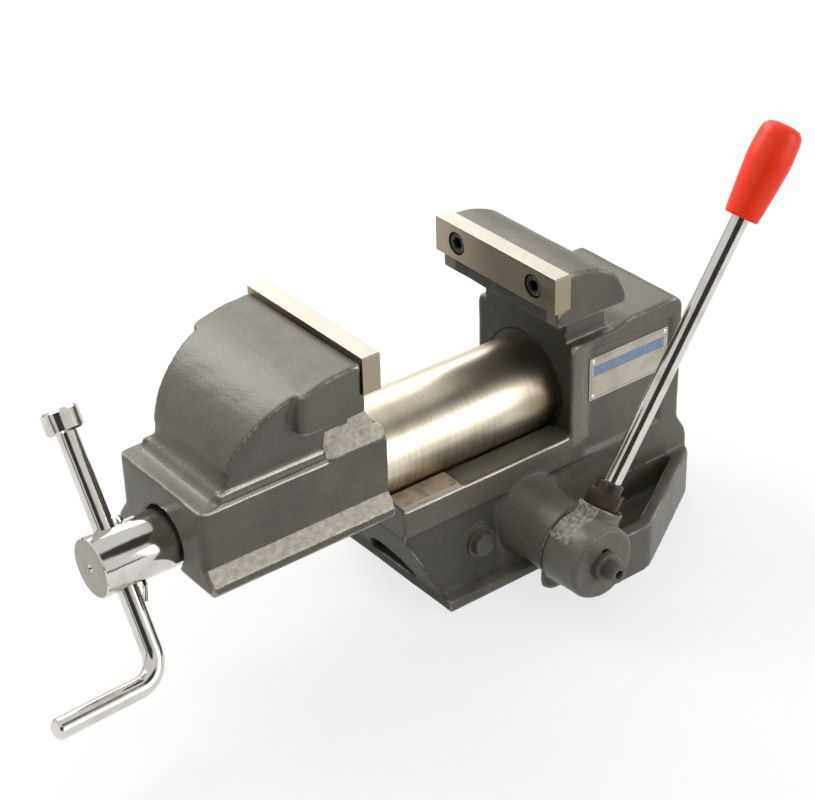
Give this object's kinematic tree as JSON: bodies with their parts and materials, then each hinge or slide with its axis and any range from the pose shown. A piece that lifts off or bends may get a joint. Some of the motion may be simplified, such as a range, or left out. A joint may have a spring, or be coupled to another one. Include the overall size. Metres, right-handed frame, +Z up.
{
  "type": "quick-release bench vise",
  "caption": "Bench vise whose front jaw rides on a round tube in a cast body; a lever clamps the tube from below and a short screw with a bent crank tightens the jaws.",
  "frame": {"origin": "on the bench plane, in the centre plane, below the clamping face of the fixed jaw plate", "axes": "+X to the operator's right, +Y from the operator to the rear, +Z up from the bench"},
  "size_m": [0.2549, 0.559, 0.3085],
  "materials": {
    "casting": "satin paint over a sand-cast skin",
    "ground_steel": "ground",
    "bright_steel": "polished",
    "black_steel": "black oxide",
    "bronze": "machined",
    "worn_steel": "dull, lightly rusted",
    "wiper_rubber": "matte",
    "grip_plastic": "satin moulded",
    "label": "satin print, blank"
  },
  "bodies": {
    "body": {"body_casting": "casting", "fixed_jaw_plate": "ground_steel", "fixed_jaw_screws": "black_steel", "tube_bushes": "bronze", "tube_wiper": "wiper_rubber", "guide_key": "bright_steel", "nameplate": "label", "nameplate_rivets": "bright_steel", "shaft_bushes": "bronze", "shaft_cap": "casting", "shaft_cap_screws": "black_steel", "pivot_bolt": "casting", "pivot_washer": "casting", "pivot_nut": "casting"},
    "slide": {"slide_tube": "ground_steel", "feed_nut": "bronze", "feed_nut_pins": "bright_steel", "tube_end_cap": "casting"},
    "front_jaw": {"front_jaw_casting": "casting", "front_jaw_plate": "ground_steel", "front_jaw_screws": "black_steel", "jaw_key": "bright_steel", "spindle_bush": "bronze"},
    "spindle": {"spindle": "bright_steel", "thrust_washer": "bronze", "retaining_collar": "bright_steel", "handle_spring": "bright_steel"},
    "crank": {"crank_bar": "bright_steel", "crank_cap": "bright_steel"},
    "lever": {"cam_shaft": "bright_steel", "hub_key": "black_steel", "shaft_ring": "black_steel", "lever_hub": "casting", "hub_washer": "casting", "hub_bolt": "black_steel", "lever_rod": "bright_steel", "lever_jam_nut": "worn_steel", "lever_grip": "grip_plastic"},
    "clamp": {"clamp_rocker": "casting", "rocker_bush": "bronze", "clamp_pad": "bronze", "clamp_pad_screws": "black_steel"}
  },
  "joints": [
    {"name": "tube_slide", "type": "slide", "parent": "body", "child": "slide", "axis": [0, 1, 0], "range_m": [-0.0065, 0.128]},
    {"name": "jaw_feed", "type": "slide", "parent": "slide", "child": "front_jaw", "axis": [0, 1, 0], "range_m": [-0.005, 0.015]},
    {"name": "spindle_turn", "type": "hinge", "parent": "front_jaw", "child": "spindle", "pos_m": [0, -0.3, 0.1105], "axis": [0, 1, 0], "range_deg": [-360, 1080]},
    {"name": "crank_slide", "type": "slide", "parent": "spindle", "child": "crank", "axis": [-0.5446, 0, 0.8387], "range_m": [-0.059, 0.04]},
    {"name": "lever_swing", "type": "hinge", "parent": "body", "child": "lever", "pos_m": [0.1, -0.0126, 0.0418], "axis": [1, 0, 0], "range_deg": [0, 60]},
    {"name": "clamp_lift", "type": "hinge", "parent": "body", "child": "clamp", "pos_m": [0, -0.057, 0.0395], "axis": [1, 0, 0], "range_deg": [0, 3.1]}
  ],
  "couplings": [
    {"joint": "jaw_feed", "follows": "spindle_turn", "m_per_rad": 0.00079577},
    {"joint": "clamp_lift", "follows": "lever_swing", "ratio": 0.05129}
  ]
}
